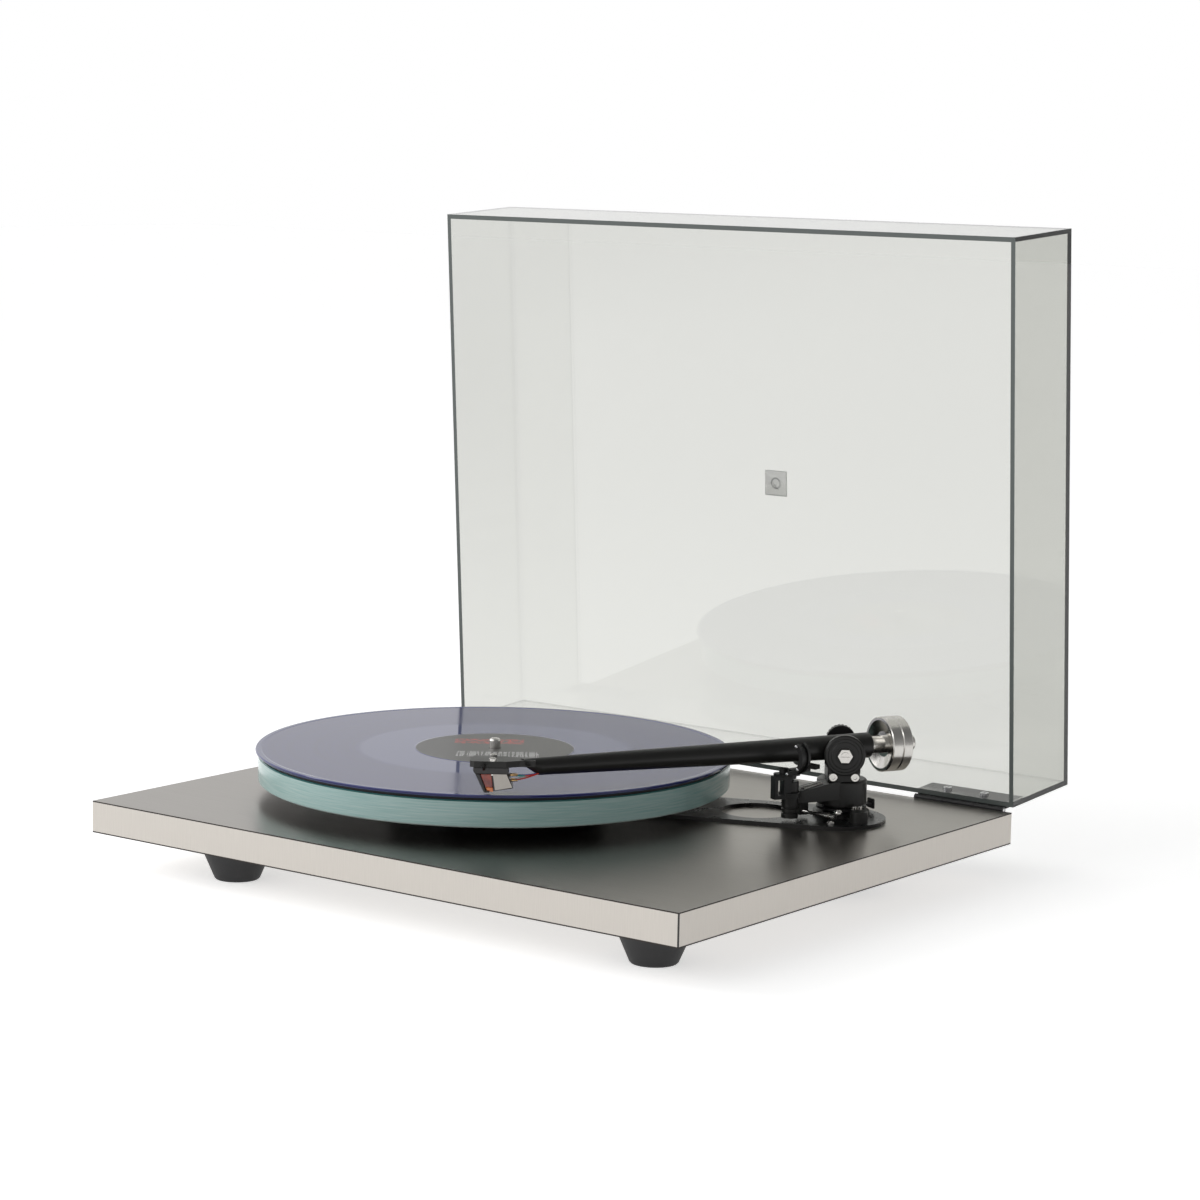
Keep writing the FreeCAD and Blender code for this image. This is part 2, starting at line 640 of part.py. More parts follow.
def lift_platform():
    """Curved bar under the tube, concentric with the pivot, on the piston's arm."""
    inner, outer = PLATFORM_RADII
    z = (PLATFORM_TOP - 2.6, PLATFORM_TOP)
    sector = Part.makeCylinder(outer, z[1] - z[0], V(0, 0, z[0]), Z_AXIS, 55)
    sector.rotate(V(0, 0, 0), Z_AXIS, -28)
    bar = sector.cut(cylinder((0, 0), (z[0] - 1, z[1] + 1), inner))
    heading = math.degrees(math.atan2(LIFT_AT[1], LIFT_AT[0]))
    foot_at = polar((0, 0), (inner + outer) / 2, heading)
    arm = capsule(foot_at, LIFT_AT, 2.0, (z[0] - 2.4, z[0] + 0.4))
    piston = cylinder(LIFT_AT, (14, z[0] - 2), 2.0)
    return in_tube_frame(fused(bar, arm, piston))


def lever_shaft(radius, inside=5.0):
    """The lift lever's shaft, in the tube's frame; it starts inside the base's lug."""
    heading = polar((0, 0), 1.0, LEVER_DIRECTION)
    return Part.makeCylinder(radius, 24 + inside, V(*LEVER_AT) - heading * inside, heading)


def lift_lever():
    """Shaft with a grip collar and a short crank that ends in a ball."""
    start = V(*LEVER_AT)
    heading = polar((0, 0), 1.0, LEVER_DIRECTION)
    back = polar((0, 0), 1.0, LEVER_DIRECTION + 90)
    collar = Part.makeCylinder(2.0, 2.6, start + heading * 17.0, heading)
    elbow = start + heading * 23.0
    ball_at = elbow + back * 4.4 + V(0, 0, 1.6)
    hub = Part.makeCylinder(1.9, 2.6, start + heading * 21.8, heading)
    crank = rod(elbow, ball_at, 0.95)
    # the ball's own axis is the crank's, so that its seam runs clear of the joint's edge
    ball = Part.makeSphere(2.5, ball_at, ball_at - elbow)
    return in_tube_frame(fused(lever_shaft(LEVER_SHAFT_R), collar, hub, crank, ball))


def arm_clip():
    """Hook that holds the parked tube, standing on the lift frame's pad."""
    inner, outer = CLIP_RADII
    a0, a1 = CLIP_SPAN
    top, bottom = 54.0, -94.0
    sector = Part.makeCylinder(outer, a1 - a0, V(0, 0, 0), Z_AXIS, top - bottom)
    sector = sector.cut(cylinder((0, 0), (-1, a1 - a0 + 1), inner))
    sector.rotate(V(0, 0, 0), Z_AXIS, bottom)
    # The sector's own plane becomes the plane across the parked tube.
    sector.rotate(V(0, 0, 0), V(1, 1, 1), 120)
    sector.translate(V(a0, 0, CLIP_Z))
    groove = cylinder((0, 0), (2.2, a1 - a0 - 2.2), outer + 1).cut(cylinder((0, 0), (0, 20), outer - 1.0))
    groove.rotate(V(0, 0, 0), V(1, 1, 1), 120)
    groove.translate(V(a0, 0, CLIP_Z))
    stem = block((a0 + 0.6, a1 - 0.6), (-2.2, 4.2), (PAD_TOP, CLIP_Z - inner - 1.2))
    return in_park_frame(fused(sector.cut(groove), stem))


# ---- tonearm yoke, turning about the vertical post ----------------------------------
def yoke():
    """Fork with a near and a far cheek for the tilt bearing, and the pin of the force dial."""
    base = block((-10, 10), (-CHEEK_OUTER, CHEEK_OUTER), (YOKE_BOTTOM, YOKE_DECK))
    middle = (YOKE_BOTTOM + YOKE_DECK) / 2
    base = base.makeFillet(2.0, [edge for edge in base.Edges if abs(edge.CenterOfMass.z - middle) < 0.1
                                 and edge.Length < 7])
    parts = []
    for s in ((CHEEK_INNER, CHEEK_OUTER), (-CHEEK_OUTER, -CHEEK_INNER)):
        low, hip, waist = YOKE_DECK - 1, YOKE_DECK + 3, YOKE_DECK + 6
        outline = [(-10, low), (10, low), (10, hip), (CHEEK_BOSS_R, waist), (CHEEK_BOSS_R, BEARING_Z),
                   (-CHEEK_BOSS_R, BEARING_Z), (-CHEEK_BOSS_R, waist), (-10, hip)]
        parts += [prism_y(outline, s), along_bearing(s, CHEEK_BOSS_R)]
    pin = along_bearing((-20.0, -CHEEK_OUTER), PIVOT_PIN_R, DIAL_Z)
    body = fused(base, *parts)
    cuts = [cylinder((0, 0), (20, YOKE_DECK + 1), POST_R + SHAFT_FIT), along_bearing((-20, 20), RACE_R)]
    for x in (-YOKE_SCREW_X, YOKE_SCREW_X):
        cuts.append(along_bearing((CHEEK_OUTER - 5, 20), 1.2, YOKE_SCREW_Z, x))
    return in_bearing_frame(body.cut(cuts).fuse(pin).removeSplitter())


def yoke_screws():
    """Two socket-head screws low on the near cheek."""
    screws = []
    for x in (-YOKE_SCREW_X, YOKE_SCREW_X):
        head = along_bearing((CHEEK_OUTER, CHEEK_OUTER + 1.8), 2.7, YOKE_SCREW_Z, x)
        head = head.makeFillet(0.4, [edge for edge in head.Edges if edge.CenterOfMass.y > CHEEK_OUTER + 1.7])
        shank = along_bearing((CHEEK_OUTER - 5, CHEEK_OUTER), 1.2, YOKE_SCREW_Z, x)
        socket = along_bearing((CHEEK_OUTER + 0.8, CHEEK_OUTER + 3), 1.2, YOKE_SCREW_Z, x)
        screws.append(in_bearing_frame(fused(head, shank).cut(socket)))
    return Part.makeCompound(screws)


def bearing_races():
    """Ball races in the two cheeks, drawn as rings."""
    rings = []
    for s in ((CHEEK_INNER, CHEEK_OUTER), (-CHEEK_OUTER, -CHEEK_INNER)):
        race = along_bearing(s, RACE_R).cut(along_bearing((s[0] - 1, s[1] + 1), PIVOT_PIN_R + SHAFT_FIT))
        rings.append(in_bearing_frame(race))
    return Part.makeCompound(rings)


def near_bearing_cap():
    """Round cover over the near bearing, with turned steps in its face."""
    face = CHEEK_OUTER + 4.5
    profile = [
        (0, CHEEK_OUTER), (CAP_R, CHEEK_OUTER), (CAP_R, face - 0.8), (CAP_R - 0.8, face), (10.6, face),
        (10.2, face - 0.5), (8.6, face - 0.5), (8.2, face - 0.2), (5.6, face - 0.2), (5.4, face - 0.7),
        (0, face - 0.7),
    ]
    cap = turned(profile, (0, 0))
    cap.rotate(V(0, 0, 0), X_AXIS, -90)
    cap.translate(V(0, 0, BEARING_Z))
    recess = along_bearing((CHEEK_OUTER - 1, CHEEK_OUTER + 0.6), RACE_R)
    return in_bearing_frame(cap.cut(recess))


def bearing_nut():
    """Hexagon nut with the slotted end of its screw."""
    start = CHEEK_OUTER + 3.8
    corner = 4.6
    angles = [math.radians(60 * step) for step in range(6)]
    outline = [(corner * math.cos(angle), BEARING_Z + corner * math.sin(angle)) for angle in angles]
    nut = prism_y(outline, (start, start + 2.4))
    dome = along_bearing((start + 2.4, start + 3.0), 2.6)
    slot = block((-3, 3), (start + 2.3, start + 4), (BEARING_Z - 0.35, BEARING_Z + 0.35))
    return in_bearing_frame(fused(nut, dome).cut(slot))


def force_dial():
    """Ribbed tracking-force knob on the far cheek's pin."""
    s = (-21.5, -CHEEK_OUTER - 0.4)
    knob = along_bearing(s, DIAL_R, DIAL_Z).cut(along_bearing((-20.3, -10), PIVOT_PIN_R + SHAFT_FIT, DIAL_Z))
    ribs = 24
    cuts = []
    for step in range(ribs):
        angle = 2 * math.pi * step / ribs
        x, z = (DIAL_R + 0.2) * math.cos(angle), DIAL_Z + (DIAL_R + 0.2) * math.sin(angle)
        cuts.append(along_bearing((-22, -17.5), 0.6, z, x))
    return in_bearing_frame(knob.cut(cuts))


# ---- tonearm, tilting in the yoke ---------------------------------------------------
def pivot_shaft():
    reach = CHEEK_OUTER - 0.5
    return in_bearing_frame(along_bearing((-reach, reach), PIVOT_PIN_R))


def tapered(x, radii):
    """A cone, or with equal radii a cylinder, round the X axis between two stations."""
    if radii[0] == radii[1]:
        return Part.makeCylinder(radii[0], x[1] - x[0], V(x[0], 0, 0), X_AXIS)
    return Part.makeCone(radii[0], radii[1], x[1] - x[0], V(x[0], 0, 0), X_AXIS)


def tube_radius(x):
    share = (x - TUBE_REAR) / (TUBE_FRONT - TUBE_REAR)
    return TUBE_REAR_R + (TUBE_FRONT_R - TUBE_REAR_R) * share


def screw_spots():
    """Cartridge screws, half an inch apart across the headshell."""
    return [(22.0, side * 6.35) for side in (-1, 1)]


def headshell():
    """Flat plate turned inwards at the bend, with the finger lift on its outer side."""
    z = (PLATE_BOTTOM, PLATE_TOP)
    outline = [(-3, -4.4), (6, -4.8), (14, -8.5), (33, -8.5), (35.5, -6.5), (35.5, 6.5), (33, 8.5), (14, 8.5),
               (6, 4.8), (-3, 4.4)]
    points = [V(x, y, z[0]) for x, y in outline]
    plate = Part.Face(Part.makePolygon(points + points[:1])).extrude(V(0, 0, z[1] - z[0]))
    finger = rod((27, 8, z[0] + 1.2), (27, 15, z[0] + 0.4), 1.0)
    tip = rod((27, 15, z[0] + 0.4), (27.5, 21, z[0] + 3.4), 1.0)
    joint = Part.makeSphere(1.0, V(27, 15, z[0] + 0.4))
    screws = [cylinder(at, (z[0] - 1, z[1] + 1), 1.25) for at in screw_spots()]
    return in_headshell_frame(fused(plate, finger, joint, tip).cut(screws))


def tube_nose():
    """Slanted end of the tube: its top runs straight on and its underside rises to the headshell."""
    rear = Part.Wire(Part.Circle(V(TUBE_FRONT, 0, 0), X_AXIS, TUBE_FRONT_R).toShape())
    front = Part.Wire(Part.Ellipse(V(0, 0, 0), 3.9, 1.85).toShape())
    front.rotate(V(0, 0, 0), V(1, 1, 1), 120)
    front.translate(V(BEND_AT + 5.0, 0, TUBE_FRONT_R - 2.1))
    return Part.makeLoft([rear, front], True)


def arm_tube():
    """One tapered casting: tube, nose and headshell, hollow from behind the bend."""
    barrel = tapered((TUBE_REAR, TUBE_FRONT), (TUBE_REAR_R, TUBE_FRONT_R))
    nose = tube_nose()
    hollow_x = (12.0, TUBE_FRONT - 3)
    hollow = tapered(hollow_x, [tube_radius(x) - TUBE_WALL for x in hollow_x])
    socket = tapered((TUBE_REAR - 1, -9), (STUB_R, STUB_R))
    tube = on_tube_axis(fused(barrel, nose)).cut([on_tube_axis(hollow), on_tube_axis(socket)])
    pin_hole = in_bearing_frame(along_bearing((-20, 20), PIVOT_PIN_R))
    return fused(tube, headshell()).cut(pin_hole)


def weight_stub():
    """Polished shaft behind the tube that the counterweight slides on."""
    rear = WEIGHT_FACES[2] - 8.0
    shaft = tapered((rear, -9.0), (STUB_R, STUB_R))
    end = tapered((rear - 1.0, rear), (STUB_R - 0.8, STUB_R))
    return on_tube_axis(fused(shaft, end))


def weight_disc(x, dished):
    """One steel disc of the counterweight; the front one is dished round the shaft."""
    c = 0.6
    rear, front = x
    outline = [(rear, STUB_R + SHAFT_FIT), (rear, WEIGHT_R - c), (rear + c, WEIGHT_R), (front - c, WEIGHT_R),
               (front, WEIGHT_R - c)]
    if dished:
        outline += [(front, WEIGHT_R - 2.2), (front - 2.5, STUB_R + 2.5), (front - 2.5, STUB_R + SHAFT_FIT)]
    else:
        outline += [(front, STUB_R + SHAFT_FIT)]
    points = [V(px, 0, pr) for px, pr in outline]
    face = Part.Face(Part.makePolygon(points + points[:1]))
    return on_tube_axis(face.revolve(V(0, 0, 0), X_AXIS, 360))


# ---- cartridge ----------------------------------------------------------------------
def cartridge_body():
    """Cartridge housing with a sloped front, bolted under the headshell."""
    top = PLATE_BOTTOM
    outline = [(12.5, top), (33.5, top), (33.5, top - 2.5), (27.0, 31.6), (23.5, 31.6), (22.0, 32.6),
               (9.5, 34.2), (12.5, top - 4.5)]
    body = prism_y(outline, (-8.0, 8.0))
    screws = [cylinder(at, (top - 5.0, top + 1), 1.2) for at in screw_spots()]
    return in_headshell_frame(body.cut(screws))


def cartridge_screws():
    low = PLATE_BOTTOM - 4.9
    profile = [(0, low), (1.2, low), (1.2, PLATE_TOP), (2.3, PLATE_TOP), (2.3, PLATE_TOP + 1.4),
               (1.9, PLATE_TOP + 1.8), (0, PLATE_TOP + 1.8)]
    screws = []
    for at in screw_spots():
        slot = block((at[0] - 3, at[0] + 3), (at[1] - 0.35, at[1] + 0.35), (PLATE_TOP + 1.0, PLATE_TOP + 2))
        screws.append(in_headshell_frame(turned(profile, at).cut(slot)))
    return Part.makeCompound(screws)


def stylus():
    """Carrier block, thin cantilever and tip, just clear of the groove."""
    carrier = block((23.4, 25.0), (-1.4, 1.4), (30.9, 31.6))
    cantilever = rod((24.6, 0, 31.1), (STYLUS_H + 0.5, 0, 30.7), 0.25)
    tip_z = GROOVE_Z + STYLUS_GAP
    tip = Part.makeCone(0.05, 0.25, 31.0 - tip_z - 0.2, V(STYLUS_H, 0, tip_z))
    return in_headshell_frame(fused(carrier, cantilever, tip))


def lead_wires():
    """Four thin, nearly straight leads from the cartridge's pins to the underside of the nose."""
    wires = []
    for lane, height in enumerate((37.6, 41.2, 38.2, 42.0)):
        y = -4.2 + 2.8 * lane
        start, end = V(11.5, y, height), V(-5.0, y * 0.35, 42.6)
        middle = V(3.5, y * 0.8, (start.z + end.z) / 2 - 0.9)
        path = Part.Wire(Part.Arc(start, middle, end).toShape())
        heading = path.Edges[0].tangentAt(path.Edges[0].FirstParameter)
        section = Part.Wire(Part.Circle(start, heading, 0.4).toShape())
        wires.append(in_headshell_frame(path.makePipeShell([section], True, False)))
    return Part.makeCompound(wires).cut([arm_tube(), cartridge_body()])


# ---- the whole set ------------------------------------------------------------------
def all_nodes():
    nodes = {
        "plinth_core": plinth_core(), "top_skin": top_skin(), "bottom_skin": bottom_skin(),
        "upper_brace": upper_brace(), "lower_brace": lower_brace(), "foot_screws": foot_screws(),
        "power_inlet": power_inlet(), "lead_gland": lead_gland(), "bearing_housing": bearing_housing(),
        "thrust_ball": thrust_ball(), "spindle": spindle(), "sub_platter": sub_platter(),
        "motor_pulley": motor_pulley(), "motor_body": motor_body(), "motor_cover": motor_cover(),
        "belts": belts(), "glass_platter": glass_platter(), "glass_rim": glass_rim(),
        "platter_mat": platter_mat(),
        "record": record(), "record_labels": record_labels(), "lid_shell": lid_shell(),
        "lid_boss": lid_boss(), "lid_screws": lid_screws(), "hinge_pins": hinge_pins(),
        "arm_base": arm_base(), "arm_fixings": arm_fixings(), "pivot_post": pivot_post(),
        "bias_ring": bias_ring(),
        "lift_cylinder": lift_cylinder(), "lift_frame": lift_frame(), "lift_platform": lift_platform(),
        "lift_lever": lift_lever(), "arm_clip": arm_clip(), "yoke": yoke(), "yoke_screws": yoke_screws(),
        "bearing_races": bearing_races(), "near_bearing_cap": near_bearing_cap(),
        "bearing_nut": bearing_nut(), "force_dial": force_dial(), "pivot_shaft": pivot_shaft(),
        "arm_tube": arm_tube(), "weight_stub": weight_stub(), "cartridge_body": cartridge_body(),
        "cartridge_screws": cartridge_screws(), "stylus": stylus(), "lead_wires": lead_wires(),
        "weight_front": weight_disc((WEIGHT_FACES[1], WEIGHT_FACES[0]), True),
        "weight_rear": weight_disc((WEIGHT_FACES[2], WEIGHT_FACES[1]), False),
    }
    nodes.update(edge_bands())
    nodes.update({name: foot(at) for name, at in FEET.items()})
    for name, side in (("left", -1), ("right", 1)):
        nodes["hinge_leaf_" + name] = hinge_leaf(side)
        nodes["hinge_bracket_" + name] = hinge_bracket(side)
    return nodes


NODES = all_nodes()
BOX = Part.makeCompound(list(NODES.values())).BoundBox
TO_ORIGIN = V(-BOX.Center.x, -BOX.Center.y, -BOX.ZMin)

os.makedirs("parts", exist_ok=True)
for node, shape in NODES.items():
    shape.translate(TO_ORIGIN)
    shape.exportStep("parts/" + node + ".step")
print("nodes", len(NODES), "shift", TO_ORIGIN, "size", BOX.XLength, BOX.YLength, BOX.ZLength)
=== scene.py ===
import json
import math

import bmesh
import bpy
from mathutils import Matrix, Vector


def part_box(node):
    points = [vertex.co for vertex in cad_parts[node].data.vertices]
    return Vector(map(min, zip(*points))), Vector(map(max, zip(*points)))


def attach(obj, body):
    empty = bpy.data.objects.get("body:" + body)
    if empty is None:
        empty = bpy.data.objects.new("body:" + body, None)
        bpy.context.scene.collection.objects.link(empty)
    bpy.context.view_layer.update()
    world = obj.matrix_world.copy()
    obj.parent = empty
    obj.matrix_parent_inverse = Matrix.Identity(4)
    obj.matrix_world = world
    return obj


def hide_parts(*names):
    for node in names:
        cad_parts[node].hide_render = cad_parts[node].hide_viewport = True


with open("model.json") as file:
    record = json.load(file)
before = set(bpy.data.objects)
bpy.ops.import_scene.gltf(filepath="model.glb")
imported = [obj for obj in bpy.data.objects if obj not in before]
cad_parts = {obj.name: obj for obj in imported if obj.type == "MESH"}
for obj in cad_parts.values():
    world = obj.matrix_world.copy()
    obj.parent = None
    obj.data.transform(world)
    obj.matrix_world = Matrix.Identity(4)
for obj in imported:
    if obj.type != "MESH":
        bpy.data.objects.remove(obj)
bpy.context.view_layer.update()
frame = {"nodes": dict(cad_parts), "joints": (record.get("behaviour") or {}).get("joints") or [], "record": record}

NODES = frame["nodes"]


# ---- where things are, all read from the frame ---------------------------------------
def low(node):
    return Vector(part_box(node)[0])


def high(node):
    return Vector(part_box(node)[1])


def centre(node):
    return (low(node) + high(node)) / 2


def joint(name):
    return next(j for j in frame["joints"] if j["name"] == name)


PLINTH_TOP = high("top_skin").z
SPINDLE = centre("spindle")
RECORD_R = (high("record").x - low("record").x) / 2
LABEL_R = (high("record_labels").x - low("record_labels").x) / 2
PLINTH_MIDDLE = Vector((centre("top_skin").x, centre("top_skin").y, PLINTH_TOP))
PIVOT = Vector(joint("arm_tilt")["pos_m"])


# ---- node helpers --------------------------------------------------------------------
class Shader:
    """One material's node tree, with short calls for the nodes that the materials share."""

    def __init__(self, name):
        self.material = bpy.data.materials.new(name)
        self.material.use_nodes = True
        self.tree = self.material.node_tree
        self.tree.nodes.clear()
        self.out = self.add("ShaderNodeOutputMaterial")
        self.surface = self.add("ShaderNodeBsdfPrincipled")
        self.link(self.surface.outputs[0], self.out.inputs["Surface"])

    def add(self, kind, **values):
        node = self.tree.nodes.new(kind)
        for key, value in values.items():
            setattr(node, key, value)
        return node

    def link(self, source, target):
        self.tree.links.new(source, target)

    def put(self, **values):
        """Set sockets of the principled shader; a socket's spaces are written as underscores."""
        for key, value in values.items():
            socket = self.surface.inputs[key.replace("_", " ")]
            if isinstance(value, bpy.types.NodeSocket):
                self.link(value, socket)
            else:
                socket.default_value = value

    def where(self):
        """Object coordinates; every CAD object's origin is the row's origin."""
        return self.add("ShaderNodeTexCoord").outputs["Object"]

    def normal(self):
        """Object-space normal, which turns with the piece."""
        return self.add("ShaderNodeTexCoord").outputs["Normal"]

    def combined(self, value):
        """A number as the X of a vector, for patterns that vary with it alone."""
        node = self.add("ShaderNodeCombineXYZ")
        self.link(value, node.inputs[0])
        return node.outputs[0]

    def dot(self, vector, direction):
        node = self.add("ShaderNodeVectorMath", operation="DOT_PRODUCT")
        self.link(vector, node.inputs[0])
        node.inputs[1].default_value = direction
        return node.outputs["Value"]

    def fixed_tangent(self, direction):
        node = self.add("ShaderNodeCombineXYZ")
        for socket, value in zip(node.inputs, direction):
            socket.default_value = value
        self.link(node.outputs[0], self.surface.inputs["Tangent"])

    def mapped(self, vector, scale=(1, 1, 1), location=(0, 0, 0), rotation=(0, 0, 0)):
        node = self.add("ShaderNodeMapping")
        self.link(vector, node.inputs["Vector"])
        node.inputs["Scale"].default_value = scale
        node.inputs["Location"].default_value = location
        node.inputs["Rotation"].default_value = rotation
        return node.outputs[0]

    def noise(self, vector, scale, detail=4.0, roughness=0.6):
        node = self.add("ShaderNodeTexNoise")
        self.link(vector, node.inputs["Vector"])
        node.inputs["Scale"].default_value = scale
        node.inputs["Detail"].default_value = detail
        node.inputs["Roughness"].default_value = roughness
        return node.outputs["Fac"]

    def math(self, operation, a, b=0.0, clamp=False):
        node = self.add("ShaderNodeMath", operation=operation, use_clamp=clamp)
        for socket, value in zip(node.inputs, (a, b)):
            if isinstance(value, bpy.types.NodeSocket):
                self.link(value, socket)
            else:
                socket.default_value = value
        return node.outputs[0]

    def ramp(self, fac, *stops):
        """Stops are (position, value); a value is a grey number or a colour."""
        node = self.add("ShaderNodeValToRGB")
        elements = node.color_ramp.elements
        while len(elements) < len(stops):
            elements.new(0.5)
        for element, (position, value) in zip(elements, stops):
            element.position = position
            colour = (value,) * 3 if isinstance(value, (int, float)) else value
            element.color = (*colour, 1.0)
        self.link(fac, node.inputs[0])
        return node.outputs["Color"]

    def mix(self, fac, a, b):
        """Colour a where fac is 0, b where it is 1."""
        node = self.add("ShaderNodeMix", data_type="RGBA")
        for socket, value in ((node.inputs[0], fac), (node.inputs[6], a), (node.inputs[7], b)):
            if isinstance(value, bpy.types.NodeSocket):
                self.link(value, socket)
            elif isinstance(value, (int, float)):
                socket.default_value = value
            else:
                socket.default_value = (*value, 1.0)
        return node.outputs[2]

    def bump(self, height, distance, strength=1.0):
        node = self.add("ShaderNodeBump")
        self.link(height, node.inputs["Height"])
        node.inputs["Distance"].default_value = distance
        node.inputs["Strength"].default_value = strength
        return node.outputs[0]

    def part(self, vector, axis):
        node = self.add("ShaderNodeSeparateXYZ")
        self.link(vector, node.inputs[0])
        return node.outputs[axis]

    def radius_from(self, point, directions=(1, 1, 0)):
        """Distance in metres from the vertical axis through a point, or from the point itself."""
        offset = self.add("ShaderNodeVectorMath", operation="SUBTRACT")
        self.link(self.where(), offset.inputs[0])
        offset.inputs[1].default_value = point
        flat = self.add("ShaderNodeVectorMath", operation="MULTIPLY")
        self.link(offset.outputs[0], flat.inputs[0])
        flat.inputs[1].default_value = directions
        length = self.add("ShaderNodeVectorMath", operation="LENGTH")
        self.link(flat.outputs[0], length.inputs[0])
        return length.outputs["Value"]


def band(shader, value, start, end, soft):
    """1 between start and end, 0 outside, with soft sides."""
    rise = shader.math("DIVIDE", shader.math("SUBTRACT", value, start - soft), 2 * soft, clamp=True)
    fall = shader.math("DIVIDE", shader.math("SUBTRACT", end + soft, value), 2 * soft, clamp=True)
    return shader.math("MULTIPLY", rise, fall)


# ---- materials -----------------------------------------------------------------------
SEAM_WIDTH = 0.0008         # metres
PEEL_DEPTH = 0.00002


def brushed_metal(name, colour, stretch, roughness, aniso=0.0, dark_edge=False, grain=0.35, seam=None):
    """Metal with a fine one-way grain; stretch scales the coordinates along and across it.

    A seam is a point: the metal is dark within SEAM_WIDTH of the upright line through it.
    """
    s = Shader(name)
    where = s.where()
    fine = s.noise(s.mapped(where, stretch), 1.0, 3.0, 0.7)
    broad = s.noise(where, 9.0, 3.0)
    tone = s.mix(s.math("MULTIPLY", fine, grain), colour, [c * 0.62 for c in colour])
    tone = s.mix(s.math("MULTIPLY", broad, 0.16), tone, [c * 0.85 for c in colour])
    rough = s.math("ADD", roughness - 0.06, s.math("MULTIPLY", fine, 0.12))
    metallic = 1.0
    if dark_edge:
        upright = s.math("ABSOLUTE", s.part(s.normal(), 2))
        side = s.math("LESS_THAN", upright, 0.5)
        tone = s.mix(side, tone, (0.018, 0.013, 0.010))
        rough = s.math("MAXIMUM", rough, s.math("MULTIPLY", side, 0.6))
        metallic = s.math("SUBTRACT", 1.0, side)
    if seam:
        dark = s.math("LESS_THAN", s.radius_from(seam), SEAM_WIDTH)
        tone = s.mix(dark, tone, (0.012, 0.010, 0.009))
        metallic = s.math("SUBTRACT", 1.0, dark)
    s.put(Base_Color=tone, Metallic=metallic, Roughness=rough, Normal=s.bump(fine, 0.00002, 0.35))
    if aniso:
        s.put(Anisotropic=aniso)
        s.fixed_tangent((1, 0, 0))
    return s.material


def painted(name, colour, roughness, grain_scale=2600.0, wear=0.10, specular=0.35):
    """Satin paint or moulded plastic with a fine orange-peel texture and slightly worn tone."""
    s = Shader(name)
    where = s.where()
    peel = s.noise(where, grain_scale, 2.0)
    cloud = s.noise(where, 70.0, 4.0)
    tone = s.mix(s.ramp(cloud, (0.35, 0.0), (0.75, wear)), colour, [min(1.0, c * 1.9 + 0.02) for c in colour])
    rough = s.math("ADD", roughness - 0.05, s.math("MULTIPLY", cloud, 0.12))
    s.put(Base_Color=tone, Roughness=rough, Specular_IOR_Level=specular, Normal=s.bump(peel, PEEL_DEPTH, 0.5))
    return s.material


def turned_steel(name, colour, roughness, axis_point, axis_turn):
    """Polished steel with fine lathe rings about one axis."""
    s = Shader(name)
    where = s.mapped(s.where(), location=axis_point)
    local = s.mapped(where, rotation=axis_turn)
    rings = s.noise(s.mapped(local, (5200.0, 30.0, 30.0)), 1.0, 2.0)
    smudge = s.noise(s.where(), 160.0, 3.0)
    tone = s.mix(s.math("MULTIPLY", rings, 0.22), colour, [c * 0.7 for c in colour])
    rough = s.math("ADD", roughness, s.math("MULTIPLY", smudge, 0.07))
    s.put(Base_Color=tone, Metallic=1.0, Roughness=rough, Normal=s.bump(rings, 0.00001, 0.4))
    return s.material


def rubber(name, colour=(0.012, 0.012, 0.013)):
    s = Shader(name)
    where = s.where()
    grain = s.noise(where, 1800.0, 3.0)
    dust = s.noise(where, 60.0, 5.0)
    tone = s.mix(s.ramp(dust, (0.45, 0.0), (0.8, 0.35)), colour, [c * 2.4 + 0.01 for c in colour])
    rough = s.math("ADD", 0.5, s.math("MULTIPLY", dust, 0.2))
    s.put(Base_Color=tone, Roughness=rough, Normal=s.bump(grain, 0.00004, 0.5))
    return s.material


def board_core():
    s = Shader("board_core")
    where = s.where()
    chips = s.noise(s.mapped(where, (300.0, 300.0, 900.0)), 1.0, 4.0)
    tone = s.ramp(chips, (0.3, (0.30, 0.21, 0.12)), (0.5, (0.52, 0.40, 0.26)), (0.7, (0.66, 0.54, 0.38)))
    s.put(Base_Color=tone, Roughness=0.85, Normal=s.bump(chips, 0.0002, 0.6))
    return s.material


def glass():
    """Float glass: clear faces, pale green ground edge, painted shade on the upper arris and a painted highlight
    on the lower arris.
    """
    s = Shader("platter_glass")
    where = s.where()
    ripple = s.noise(where, 35.0, 2.0)
    grind = s.noise(s.mapped(where, (40.0, 40.0, 1600.0)), 1.0, 3.0)
    rise = s.part(s.normal(), 2)
    steep = s.math("ABSOLUTE", rise)
    side = s.math("LESS_THAN", steep, 0.5)
    arris = s.math("MULTIPLY", s.math("LESS_THAN", steep, 0.9), s.math("SUBTRACT", 1.0, side))
    edge = s.mix(s.ramp(grind, (0.3, 0.0), (0.7, 1.0)), (0.40, 0.66, 0.63), (0.60, 0.82, 0.79))
    # Painted light on the arris: the upward-facing chamfer is painted dark as shade, the downward-facing one
    # painted bright as a highlight.
    arris_painted_light = s.mix(s.math("GREATER_THAN", rise, 0.0), (0.80, 0.95, 0.93), (0.09, 0.26, 0.25))
    tone = s.mix(side, (0.90, 0.98, 0.955), edge)
    tone = s.mix(arris, tone, arris_painted_light)
    cloudy = s.math("ADD", side, arris, clamp=True)
    clear = s.math("SUBTRACT", 1.0, s.math("MULTIPLY", cloudy, 0.62))
    rough = s.math("ADD", s.math("MULTIPLY", cloudy, 0.16), s.math("MULTIPLY", ripple, 0.02))
    s.put(Base_Color=tone, Roughness=rough, Transmission_Weight=clear, IOR=1.5,
          Normal=s.bump(grind, 0.00001, 0.2))
    return s.material


